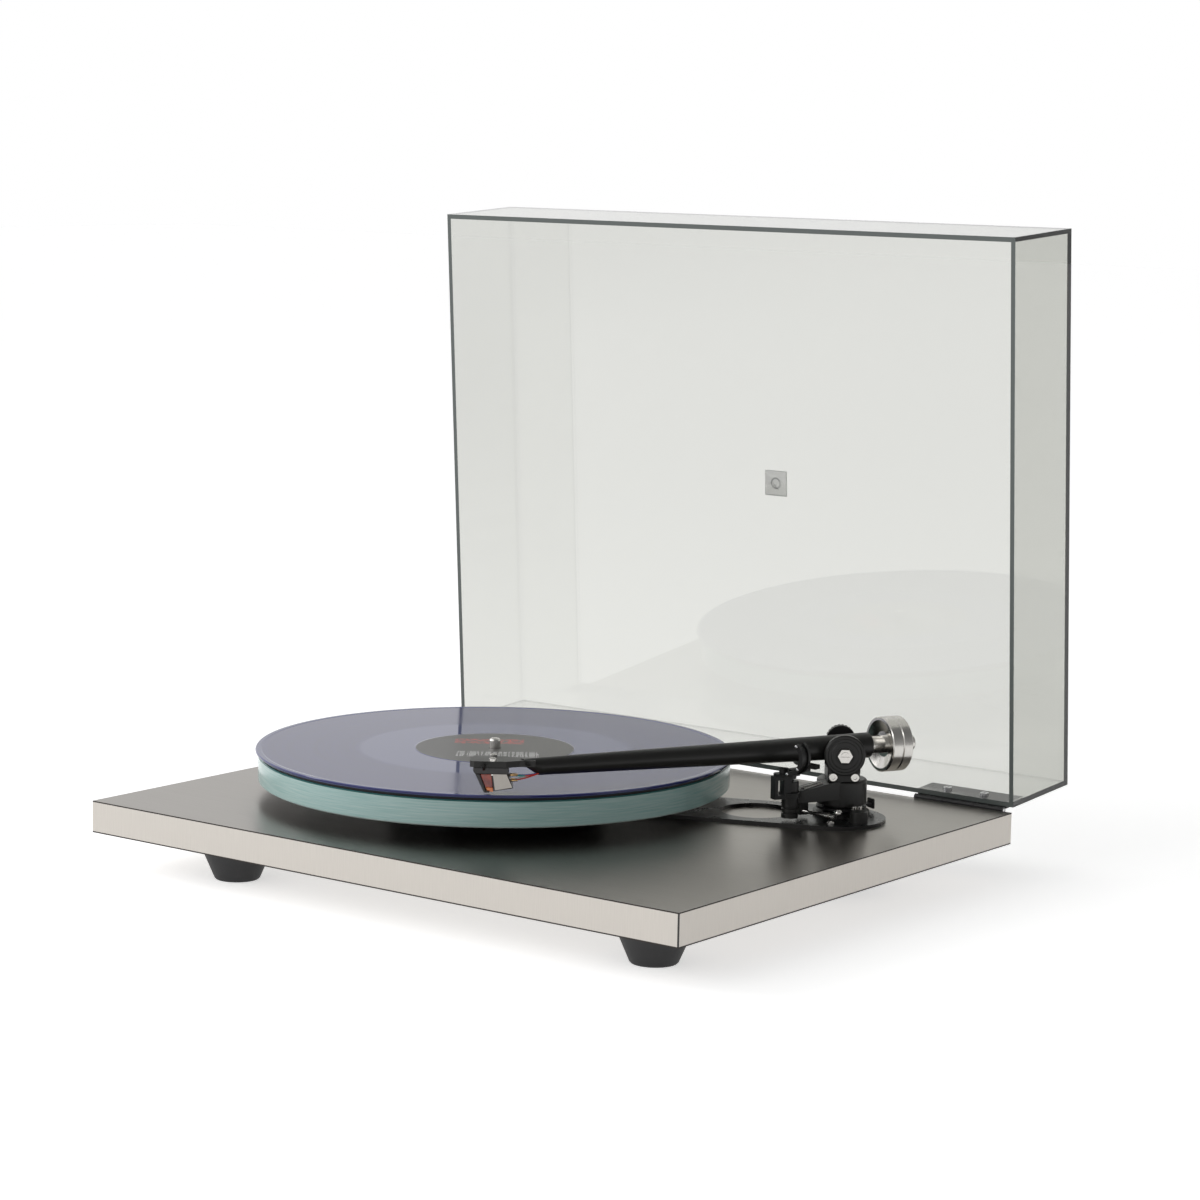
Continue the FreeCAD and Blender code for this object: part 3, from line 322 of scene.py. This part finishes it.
def felt():
    s = Shader("mat_felt")
    where = s.where()
    fluff = s.noise(where, 2400.0, 5.0, 0.75)
    tone = s.ramp(fluff, (0.3, (0.010, 0.010, 0.011)), (0.7, (0.035, 0.035, 0.037)))
    s.put(Base_Color=tone, Roughness=0.95, Sheen_Weight=0.3, Sheen_Roughness=0.5,
          Normal=s.bump(fluff, 0.0002, 0.8))
    return s.material


def vinyl():
    """Record: glossy, violet-blue, with groove rings, gaps between tracks and a plain run-out; the plain bands
    carry a painted highlight and the record's side painted shade.
    """
    s = Shader("record_vinyl")
    radius = s.radius_from(SPINDLE)
    run_out = band(s, radius, LABEL_R, LABEL_R + 0.035, 0.0006)
    lead_in = band(s, radius, RECORD_R - 0.0042, RECORD_R + 0.001, 0.0003)
    plain = s.math("MAXIMUM", run_out, lead_in)
    track = s.noise(s.mapped(s.combined(radius), (260.0, 1, 1)), 1.0, 3.0, 0.65)
    fine = s.noise(s.mapped(s.combined(radius), (5200.0, 1, 1)), 1.0, 2.0)
    grooved = s.ramp(track, (0.32, (0.010, 0.011, 0.085)), (0.5, (0.018, 0.020, 0.125)),
                     (0.68, (0.036, 0.040, 0.185)))
    # The plain run-out and lead-in bands get a lighter colour, a painted highlight on the smooth vinyl.
    tone = s.mix(plain, grooved, (0.070, 0.080, 0.21))
    # The record's upright side is painted darker: painted shade.
    upright = s.math("ABSOLUTE", s.part(s.normal(), 2))
    tone = s.mix(s.math("LESS_THAN", upright, 0.6), tone, (0.010, 0.010, 0.085))
    rough = s.math("SUBTRACT", 0.13, s.math("MULTIPLY", plain, 0.08))
    height = s.math("MULTIPLY", fine, s.math("SUBTRACT", 1.0, plain))
    tangent = s.add("ShaderNodeTangent", direction_type="RADIAL", axis="Z")
    s.put(Base_Color=tone, Roughness=rough, IOR=1.5, Specular_IOR_Level=0.33,
          Normal=s.bump(height, 0.00001, 0.12), Anisotropic=0.3)
    s.link(tangent.outputs[0], s.surface.inputs["Tangent"])
    return s.material


def label_paper():
    """Printed label: grey ground, a plain red field and rows of pale bars, no lettering."""
    s = Shader("label_print")
    radius = s.radius_from(SPINDLE)
    local = s.mapped(s.where(), location=(-SPINDLE.x, -SPINDLE.y, 0))
    turned = s.mapped(local, rotation=(0, 0, -0.65))
    x, y = s.part(turned, 0), s.part(turned, 1)
    fibre = s.noise(s.where(), 1500.0, 4.0)
    ground = s.mix(s.ramp(fibre, (0.35, 0.0), (0.7, 0.5)), (0.090, 0.088, 0.083), (0.130, 0.126, 0.120))
    red_rows = s.math("MULTIPLY", band(s, y, 0.014, 0.030, 0.0004), band(s, x, -0.026, 0.018, 0.0004))
    blotch = s.math("GREATER_THAN", s.noise(s.mapped(turned, (260, 700, 1)), 1.0, 2.0), 0.52)
    tone = s.mix(s.math("MULTIPLY", red_rows, blotch), ground, (0.55, 0.06, 0.05))
    lines = s.math("GREATER_THAN", s.math("SINE", s.math("MULTIPLY", y, 1500.0)), 0.35)
    text = s.math("GREATER_THAN", s.noise(s.mapped(turned, (900, 30, 1)), 1.0, 1.0), 0.47)
    zone = s.math("MULTIPLY", band(s, y, -0.030, -0.012, 0.0003), band(s, x, -0.024, 0.028, 0.0004))
    tone = s.mix(s.math("MULTIPLY", zone, s.math("MULTIPLY", lines, text)), tone, (0.78, 0.78, 0.78))
    rim = band(s, radius, LABEL_R - 0.0012, LABEL_R, 0.0001)
    tone = s.mix(s.math("MULTIPLY", rim, 0.4), tone, (0.1, 0.1, 0.1))
    s.put(Base_Color=tone, Roughness=0.45, Coat_Weight=0.2, Coat_Roughness=0.25,
          Normal=s.bump(fibre, 0.00003, 0.4))
    return s.material


def acrylic():
    """Smoke-tinted acrylic sheet whose sawn rim, 3 mm wide, looks dark grey."""
    s = Shader("lid_acrylic")
    where = s.where()
    haze = s.noise(where, 6.0, 3.0)
    fine = s.noise(where, 900.0, 3.0)
    hinge = Vector(joint("lid_hinge")["pos_m"])
    depth = s.math("SUBTRACT", s.dot(where, LID_DEPTH), hinge.dot(LID_DEPTH))
    facing = s.math("ABSOLUTE", s.dot(s.normal(), LID_DEPTH))
    rim = s.math("MULTIPLY", s.math("LESS_THAN", depth, 0.0025), s.math("GREATER_THAN", facing, 0.5))
    tint = s.mix(s.math("MULTIPLY", haze, 0.3), (0.700, 0.705, 0.675), (0.665, 0.670, 0.640))
    tone = s.mix(rim, tint, (0.085, 0.098, 0.094))
    swirl = s.math("MULTIPLY", s.math("MULTIPLY", haze, fine), 0.05)
    rough = s.math("ADD", s.math("MULTIPLY", rim, 0.3), swirl)
    s.put(Base_Color=tone, Roughness=rough, Transmission_Weight=s.math("SUBTRACT", 1.0, rim), IOR=1.49)
    return s.material


def frosted():
    """Lightly frosted pad with a darker ring in its middle."""
    s = Shader("boss_frosted")
    grain = s.noise(s.where(), 900.0, 3.0)
    rough = s.math("ADD", 0.25, s.math("MULTIPLY", grain, 0.15))
    tone = s.mix(s.math("MULTIPLY", grain, 0.4), (0.90, 0.90, 0.89), (0.78, 0.79, 0.79))
    off_middle = s.radius_from(centre("lid_boss"), (1, 1, 1))
    tone = s.mix(band(s, off_middle, 0.0030, 0.0040, 0.0002), tone, (0.30, 0.31, 0.31))
    s.put(Base_Color=tone, Roughness=rough, Transmission_Weight=0.85, IOR=1.49,
          Normal=s.bump(grain, 0.00005, 0.5))
    return s.material


def cartridge_plastic(name, dark, light, roughness, coat=0.5):
    s = Shader(name)
    where = s.where()
    grain = s.noise(where, 1500.0, 3.0)
    cloud = s.noise(where, 260.0, 3.0)
    tone = s.mix(s.ramp(cloud, (0.35, 0.0), (0.65, 1.0)), dark, light)
    rough = s.math("ADD", roughness, s.math("MULTIPLY", cloud, 0.12))
    s.put(Base_Color=tone, Roughness=rough, Coat_Weight=coat, Coat_Roughness=0.1,
          Normal=s.bump(grain, 0.00001, 0.3))
    return s.material


LEADS_SPREAD = 85.0         # one over the leads' width side by side, in metres


def insulated_wire():
    """Four leads, each with its own colour by its place across the headshell."""
    s = Shader("lead_insulation")
    where = s.where()
    sheen = s.noise(where, 900.0, 2.0)
    across = Vector(joint("arm_tilt")["axis"])
    offset = s.math("SUBTRACT", s.dot(where, across), centre("lead_wires").dot(across))
    share = s.math("ADD", s.math("MULTIPLY", offset, LEADS_SPREAD), 0.5, clamp=True)
    tone = s.ramp(share, (0.0, (0.02, 0.28, 0.24)), (0.26, (0.55, 0.03, 0.02)), (0.52, (0.04, 0.10, 0.45)),
                  (0.78, (0.75, 0.75, 0.72)))
    s.tree.nodes[-1].color_ramp.interpolation = "CONSTANT"
    rough = s.math("ADD", 0.3, s.math("MULTIPLY", sheen, 0.15))
    s.put(Base_Color=tone, Roughness=rough, Normal=s.bump(sheen, 0.00002, 0.4))
    return s.material


LID_OPEN = math.radians(joint("lid_hinge")["range_deg"][1])
LID_DEPTH = Vector((0, math.sin(LID_OPEN), math.cos(LID_OPEN)))
SILVER = (0.66, 0.66, 0.67)
NICKEL = (0.40, 0.375, 0.345)
FRONT_CORNER = (high("edge_band_front").x, low("edge_band_front").y, 0)
ARM_AXIS = Vector(joint("counterweight_slide")["axis"])
ARM_ANGLE = math.atan2(ARM_AXIS.y, ARM_AXIS.x)


def make_materials():
    return {
        "board": board_core(),
        "nickel_laminate": brushed_metal("nickel_laminate", NICKEL, (14.0, 2600.0, 900.0), 0.30, 0.5,
                                         dark_edge=True),
        "edge_metal": brushed_metal("edge_brushed", (0.62, 0.585, 0.54), (1500.0, 1500.0, 30.0), 0.42,
                                    grain=0.45, seam=FRONT_CORNER),
        "brace_black": painted("brace_satin_black", (0.007, 0.007, 0.007), 0.27, wear=0.05, specular=0.45),
        "foot_rubber": rubber("foot_rubber"),
        "belt_rubber": rubber("belt_rubber", (0.02, 0.02, 0.022)),
        "steel": brushed_metal("machined_steel", SILVER, (900.0, 900.0, 2400.0), 0.28),
        "brass": brushed_metal("machined_brass", (0.72, 0.53, 0.24), (60.0, 60.0, 3000.0), 0.3),
        "wheel_black": painted("wheel_black", (0.014, 0.014, 0.015), 0.35),
        "motor_paint": painted("motor_paint", (0.09, 0.09, 0.095), 0.4),
        "black_plastic": painted("moulded_black", (0.007, 0.007, 0.007), 0.40, 1900.0, specular=0.3),
        "glass": glass(),
        "felt": felt(),
        "vinyl": vinyl(),
        "label_paper": label_paper(),
        "smoke_acrylic": acrylic(),
        "badge": frosted(),
        "hinge_black": painted("hinge_black", (0.014, 0.014, 0.015), 0.4),
        "arm_black": painted("arm_satin_black", (0.0100, 0.0098, 0.0088), 0.36, 3200.0, specular=0.36),
        "polished_steel": turned_steel("polished_steel", (0.62, 0.605, 0.575), 0.17, tuple(-PIVOT),
                                       (0, 0, -ARM_ANGLE)),
        "cartridge_grey": cartridge_plastic("cartridge_plastic", (0.016, 0.015, 0.015),
                                            (0.034, 0.030, 0.030), 0.2),
        "wires": insulated_wire(),
    }


def dress_nodes():
    """Give every carried-over CAD node the material of its record slot."""
    made = make_materials()
    slot_of = {part["node"]: part["material_slot"] for part in frame["record"]["subparts"]}
    for node, obj in NODES.items():
        for entry in obj.material_slots:
            entry.material = made[slot_of[node]]


# ---- detail pieces --------------------------------------------------------------------
MM = 0.001
BEVEL_SEGMENTS = 2
LATHE_STEPS = 28
TILT_AXIS = Vector(joint("arm_tilt")["axis"])
SIDE = -TILT_AXIS                                    # outwards, across the headshell
HEADING = Vector((-TILT_AXIS.y, TILT_AXIS.x, 0))     # along the headshell, away from the pivot
CARTRIDGE_MIDDLE = 21.5                              # of the cartridge, from the headshell's bend
CARTRIDGE_TOP = high("cartridge_body").z


def in_cartridge(along, across, down):
    """A point from millimetres along and across the headshell, and down from its plate."""
    middle = centre("cartridge_body")
    point = Vector((middle.x, middle.y, CARTRIDGE_TOP - down * MM))
    return point + HEADING * (along - CARTRIDGE_MIDDLE) * MM + SIDE * across * MM


def finish_piece(mesh, name, material, body, bevel):
    """Put a new mesh in the scene with its finish, and let it ride on a body."""
    obj = bpy.data.objects.new(name, mesh)
    mesh.materials.append(material)
    bpy.context.collection.objects.link(obj)
    if bevel:
        modifier = obj.modifiers.new("soft_edges", "BEVEL")
        modifier.width = bevel * MM
        modifier.segments = BEVEL_SEGMENTS
        modifier.limit_method = "ANGLE"
    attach(obj, body)
    return obj


def side_prism(name, outline, across, material, bevel=0.3):
    """An (along, down) outline pushed across the headshell, riding on the arm."""
    build = bmesh.new()
    near = [build.verts.new(in_cartridge(along, across[1], down)) for along, down in outline]
    far = [build.verts.new(in_cartridge(along, across[0], down)) for along, down in outline]
    build.faces.new(near)
    build.faces.new(list(reversed(far)))
    count = len(outline)
    for index in range(count):
        after = (index + 1) % count
        build.faces.new((near[after], near[index], far[index], far[after]))
    bmesh.ops.recalc_face_normals(build, faces=build.faces)
    mesh = bpy.data.meshes.new(name)
    build.to_mesh(mesh)
    build.free()
    return finish_piece(mesh, name, material, "arm", bevel)


def lathe_piece(name, start, direction, profile, material, body):
    """A round piece from (distance, radius) points in millimetres along a direction."""
    axis = Vector(direction).normalized()
    across = axis.orthogonal().normalized()
    upward = axis.cross(across)
    build = bmesh.new()
    rings = []
    for distance, radius in profile:
        middle = Vector(start) + axis * distance * MM
        turns = [2 * math.pi * step / LATHE_STEPS for step in range(LATHE_STEPS)]
        spokes = [across * math.cos(turn) + upward * math.sin(turn) for turn in turns]
        rings.append([build.verts.new(middle + spoke * radius * MM) for spoke in spokes])
    for first, second in zip(rings, rings[1:]):
        for step in range(LATHE_STEPS):
            after = (step + 1) % LATHE_STEPS
            face = build.faces.new((first[step], first[after], second[after], second[step]))
            face.smooth = True
    build.faces.new(list(reversed(rings[0])))
    build.faces.new(rings[-1])
    bmesh.ops.recalc_face_normals(build, faces=build.faces)
    mesh = bpy.data.meshes.new(name)
    build.to_mesh(mesh)
    build.free()
    return finish_piece(mesh, name, material, body, 0)


def build_cartridge():
    """Housing with polished side plates, a red generator seen at the front, and gold pins."""
    dark = cartridge_plastic("housing_dark", (0.009, 0.0085, 0.0085), (0.018, 0.016, 0.016), 0.3, 0.15)
    red = cartridge_plastic("generator_red", (0.17, 0.012, 0.006), (0.34, 0.035, 0.010), 0.12, 0.6)
    orange = cartridge_plastic("generator_orange", (0.75, 0.17, 0.03), (0.85, 0.27, 0.06), 0.2, 0.6)
    plate = brushed_metal("side_plate_metal", (0.33, 0.31, 0.285), (500.0, 500.0, 60.0), 0.16)
    gold = brushed_metal("pin_gold", (0.95, 0.62, 0.30), (900.0, 900.0, 900.0), 0.2)
    head_outline = [(12.5, 0.0), (33.5, 0.0), (33.5, 2.4), (32.2, 4.2), (12.5, 4.2)]
    core_outline = [(12.9, 4.2), (22.6, 4.2), (21.4, 14.3), (9.9, 12.5)]
    nose_outline = [(29.6, 4.2), (32.2, 4.2), (27.0, 15.2), (23.6, 15.2), (23.6, 14.2), (26.0, 14.2)]
    head = side_prism("cartridge_head", head_outline, (-8.0, 8.0), dark, 0.5)
    core = side_prism("cartridge_core", core_outline, (-7.3, 7.3), dark)
    nose = side_prism("cartridge_nose", nose_outline, (-7.6, 7.6), dark)
    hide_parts("cartridge_body")
    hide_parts("cartridge_body")
    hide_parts("cartridge_body")
    block_outline = [(22.6, 4.2), (29.4, 4.2), (26.2, 12.2), (21.8, 12.2)]
    foot_outline = [(21.7, 12.3), (26.2, 12.3), (25.0, 14.9), (21.5, 14.9)]
    plate_outline = [(13.7, 3.9), (21.9, 3.9), (20.5, 13.8), (10.2, 11.9)]
    side_prism("generator_block", block_outline, (-6.6, 6.6), red)
    side_prism("generator_foot", foot_outline, (-6.2, 6.2), orange)
    for label, across in (("near", (7.3, 8.0)), ("far", (-8.0, -7.3))):
        side_prism("side_plate_" + label, plate_outline, across, plate, 0.15)
    for lane, down in enumerate((9.3, 5.7, 8.7, 4.9)):
        start = in_cartridge(12.2, -4.2 + 2.8 * lane, down)
        profile = [(0.0, 0.55), (0.4, 0.8), (3.2, 0.8), (3.4, 0.62), (4.6, 0.62), (4.9, 0.45)]
        lathe_piece("lead_clip_%d" % (lane + 1), start, -HEADING, profile, gold, "arm")


PARK_HEADING = math.radians(-94.0)      # the parked tube's direction from the pivot
CLIP_FACE = 56.0                        # the clip's front face, from the pivot
CLIP_MIDDLE_UP = 2.65                   # the clip's centre above the tilt axis
CLIP_PIN_RADIUS = 10.2


def build_clip_pins():
    """Bright pin ends in the front of the arm clip."""
    chrome = brushed_metal("clip_pin_steel", SILVER, (900.0, 900.0, 900.0), 0.15)
    along = Vector((math.cos(PARK_HEADING), math.sin(PARK_HEADING), 0))
    outward = Vector((-along.y, along.x, 0))
    upward = Vector((0, 0, 1))
    profile = [(0.0, 1.0), (1.0, 1.0), (1.3, 0.85), (1.5, 0.5)]
    middle = along * (CLIP_FACE - 0.6) + upward * CLIP_MIDDLE_UP
    for index, degrees in enumerate((48.0, -38.0, -88.0)):
        turn = math.radians(degrees)
        spoke = outward * math.cos(turn) + upward * math.sin(turn)
        start = PIVOT + (middle + spoke * CLIP_PIN_RADIUS) * MM
        lathe_piece("clip_pin_%d" % (index + 1), start, along, profile, chrome, "plinth")


def build_details():
    build_cartridge()
    build_clip_pins()


# ---- studio --------------------------------------------------------------------------
def new_mesh(name, verts, faces, material):
    mesh = bpy.data.meshes.new(name)
    mesh.from_pydata(verts, [], faces)
    mesh.materials.append(material)
    obj = bpy.data.objects.new(name, mesh)
    bpy.context.collection.objects.link(obj)
    return obj


def floor_material():
    """Pale seamless paper that is lit evenly from below as well, so shadows stay light."""
    s = Shader("studio_floor")
    cloud = s.noise(s.where(), 3.0, 3.0)
    tone = s.mix(s.math("MULTIPLY", cloud, 0.1), (0.93, 0.93, 0.93), (0.90, 0.90, 0.90))
    s.put(Base_Color=tone, Roughness=0.9, Specular_IOR_Level=0.1, Emission_Color=(1, 1, 1, 1),
          Emission_Strength=0.55)
    return s.material


def build_floor():
    size = 9.0
    floor = new_mesh("studio_floor", [(-size, -size, 0), (size, -size, 0), (size, size, 0), (-size, size, 0)],
                     [(0, 1, 2, 3)], floor_material())


ROOM_LEVEL = 0.88
OVERHEAD_DROP = 0.55
SIDE_DROP = 0.36
KEY_POWER = 12.0
FRONT_POWER = 8.0


def area_light(name, place, target, size, power):
    data = bpy.data.lights.new(name, "AREA")
    data.shape = "RECTANGLE"
    data.size, data.size_y = size
    data.energy = power
    obj = bpy.data.objects.new(name, data)
    obj.location = place
    obj.rotation_mode = "QUATERNION"
    obj.rotation_quaternion = (Vector(target) - Vector(place)).to_track_quat("-Z", "Y")
    bpy.context.collection.objects.link(obj)
    return obj


def build_world():
    """A white room: seen directly it is plain white, and it lights the object more from the left."""
    world = bpy.data.worlds.new("studio")
    world.use_nodes = True
    tree = world.node_tree
    background = tree.nodes["Background"]
    add = tree.nodes.new

    def math_node(operation, first, second, clamp=False):
        node = add("ShaderNodeMath")
        node.operation = operation
        node.use_clamp = clamp
        for socket, value in zip(node.inputs, (first, second)):
            if isinstance(value, bpy.types.NodeSocket):
                tree.links.new(value, socket)
            else:
                socket.default_value = value
        return node.outputs[0]

    direction = add("ShaderNodeTexCoord").outputs["Generated"]
    parts = add("ShaderNodeSeparateXYZ")
    tree.links.new(direction, parts.inputs[0])
    height = math_node("MAXIMUM", parts.outputs[2], 0.0)
    overhead = math_node("MULTIPLY", math_node("POWER", height, 0.7), -OVERHEAD_DROP)
    sideways = math_node("MULTIPLY", parts.outputs[0], -SIDE_DROP)
    level = math_node("MAXIMUM", math_node("ADD", math_node("ADD", overhead, sideways), ROOM_LEVEL), 0.08)
    path = add("ShaderNodeLightPath")
    seen = math_node("ADD", path.outputs["Is Camera Ray"], path.outputs["Is Transmission Ray"], clamp=True)
    keep = math_node("SUBTRACT", 1.0, seen)
    strength = math_node("ADD", seen, math_node("MULTIPLY", level, keep))
    background.inputs["Color"].default_value = (1.0, 1.0, 1.0, 1.0)
    tree.links.new(strength, background.inputs["Strength"])
    bpy.context.scene.world = world


def build_lights():
    area_light("key_left", (-1.7, -0.9, 1.1), (0, 0, 0.1), (1.2, 1.0), KEY_POWER)
    area_light("front_soft", (-0.5, -2.2, 1.3), (0, 0, 0.1), (1.2, 0.9), FRONT_POWER)


# ---- camera --------------------------------------------------------------------------
AZIMUTH = 36.84
ELEVATION = 8.11
ROLL = 1.11
CAMERA_FROM_PLINTH = Vector((1.24535, -1.61871, 0.42168))
LENS = 100.15
SENSOR = 36.0


def build_camera():
    az, el, roll = (math.radians(a) for a in (AZIMUTH, ELEVATION, ROLL))
    back = Vector((math.sin(az) * math.cos(el), -math.cos(az) * math.cos(el), math.sin(el)))
    right = Vector((0, 0, 1)).cross(back).normalized()
    up = back.cross(right)
    tilted_right = right * math.cos(roll) + up * math.sin(roll)
    tilted_up = up * math.cos(roll) - right * math.sin(roll)
    data = bpy.data.cameras.new("camera")
    data.lens = LENS
    data.sensor_width = SENSOR
    data.clip_start = 0.05
    data.clip_end = 50.0
    camera = bpy.data.objects.new("camera", data)
    turn = Matrix((tilted_right, tilted_up, back)).transposed()
    camera.matrix_world = Matrix.Translation(PLINTH_MIDDLE + CAMERA_FROM_PLINTH) @ turn.to_4x4()
    bpy.context.collection.objects.link(camera)
    bpy.context.scene.camera = camera


dress_nodes()
build_details()
build_floor()
build_world()
build_lights()
build_camera()
bpy.context.scene.view_settings.view_transform = "Standard"
